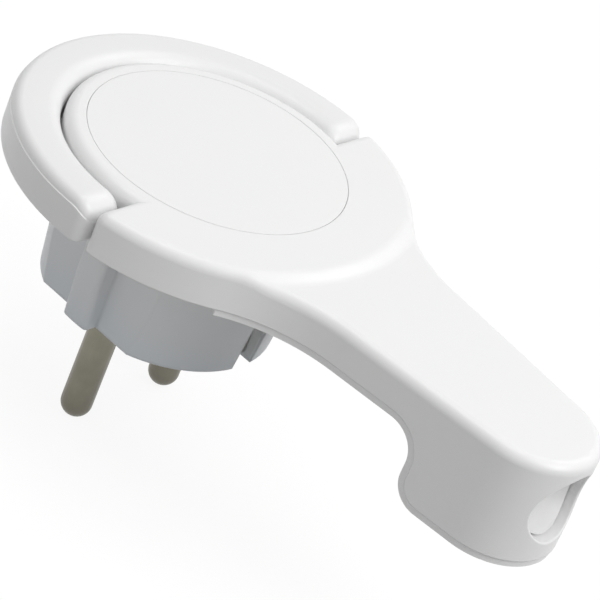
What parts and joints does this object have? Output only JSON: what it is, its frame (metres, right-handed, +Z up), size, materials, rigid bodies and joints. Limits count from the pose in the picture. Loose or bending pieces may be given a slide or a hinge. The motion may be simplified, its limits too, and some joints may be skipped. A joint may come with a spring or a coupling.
{
  "type": "type f plug",
  "caption": "Flat mains plug, two round pins and side earth contacts, with a lift-up pull bail on its round head and a side arm to a deep cable entry block.",
  "frame": {"origin": "midway between the two contact pins, on the engagement face", "axes": "+Z up through the head, away from the socket; +X along the arm to the cable entry; the two pins lie on Y and point down"},
  "size_m": [0.1021, 0.0602, 0.0459],
  "materials": {
    "housing_white": "semi-matt moulded white plastic",
    "cap_white": "semi-matt moulded white plastic",
    "bail_white": "semi-matt moulded white plastic",
    "cover_white": "semi-matt moulded white plastic",
    "blank_white": "moulded white plastic",
    "body_grey_white": "moulded grey-white plastic",
    "insulator": "moulded insulating plastic",
    "earth_metal": "nickel plated strip",
    "pin_nickel": "dull nickel plated brass",
    "screw_steel": "zinc plated steel"
  },
  "bodies": {
    "plug": {"top_housing": "housing_white", "centre_cap": "cap_white", "plug_body": "body_grey_white", "arm_cover": "cover_white", "entry_blank": "blank_white", "pin_carrier": "insulator", "clamp_bar": "insulator", "earth_bracket": "earth_metal", "earth_washer": "earth_metal", "contact_pin_left": "pin_nickel", "contact_pin_right": "pin_nickel", "terminal_screw_left": "screw_steel", "terminal_screw_right": "screw_steel", "clamp_screw_left": "screw_steel", "clamp_screw_right": "screw_steel", "cover_screw_left": "screw_steel", "cover_screw_right": "screw_steel", "cover_screw_root": "screw_steel", "earth_screw": "screw_steel", "body_screw": "screw_steel"},
    "bail": {"pull_bail": "bail_white"}
  },
  "joints": [
    {"name": "bail_hinge", "type": "hinge", "parent": "plug", "child": "bail", "pos_m": [0.0013, 0, 0.02319], "axis": [0, 1, 0], "range_deg": [0, 95]}
  ]
}
